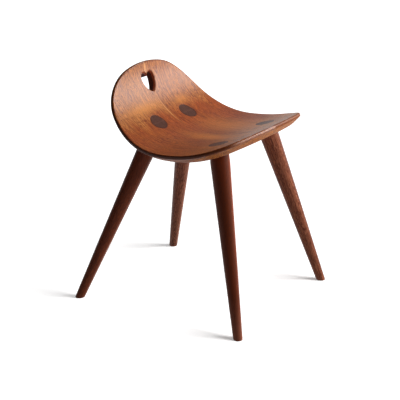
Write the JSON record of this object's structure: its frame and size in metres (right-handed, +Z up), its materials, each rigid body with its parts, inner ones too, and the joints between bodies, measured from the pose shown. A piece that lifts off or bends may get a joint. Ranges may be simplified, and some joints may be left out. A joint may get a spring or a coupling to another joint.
{
  "type": "stool",
  "caption": "Walnut stool with a thin saddle seat that rises into a rounded low back with a heart-shaped hand-hold, on splayed tapered round legs with wedged through tenons.",
  "frame": {"origin": "on the floor, under the middle of the stool's bounding box, which is the middle of its four feet", "axes": "+Z up, -Y towards the front edge of the seat, +Y towards the raised back, X across the seat, with the seat's glue line in the plane x = 0"},
  "size_m": [0.445, 0.4808, 0.5666],
  "materials": {
    "seat_walnut_light": "oiled satin walnut, grain running front to back, orange brown",
    "seat_walnut_dark": "oiled satin walnut, grain running front to back, redder brown",
    "leg_walnut": "oiled satin dark walnut, grain along the leg, end grain on the tenon",
    "wedge_walnut": "oiled walnut end grain"
  },
  "bodies": {
    "root": {"seat_board_left": "seat_walnut_light", "seat_board_right": "seat_walnut_dark", "leg_back_left": "leg_walnut", "leg_back_right": "leg_walnut", "leg_front_left": "leg_walnut", "leg_front_right": "leg_walnut", "wedge_back_left": "wedge_walnut", "wedge_back_right": "wedge_walnut", "wedge_front_left": "wedge_walnut", "wedge_front_right": "wedge_walnut"}
  },
  "joints": []
}
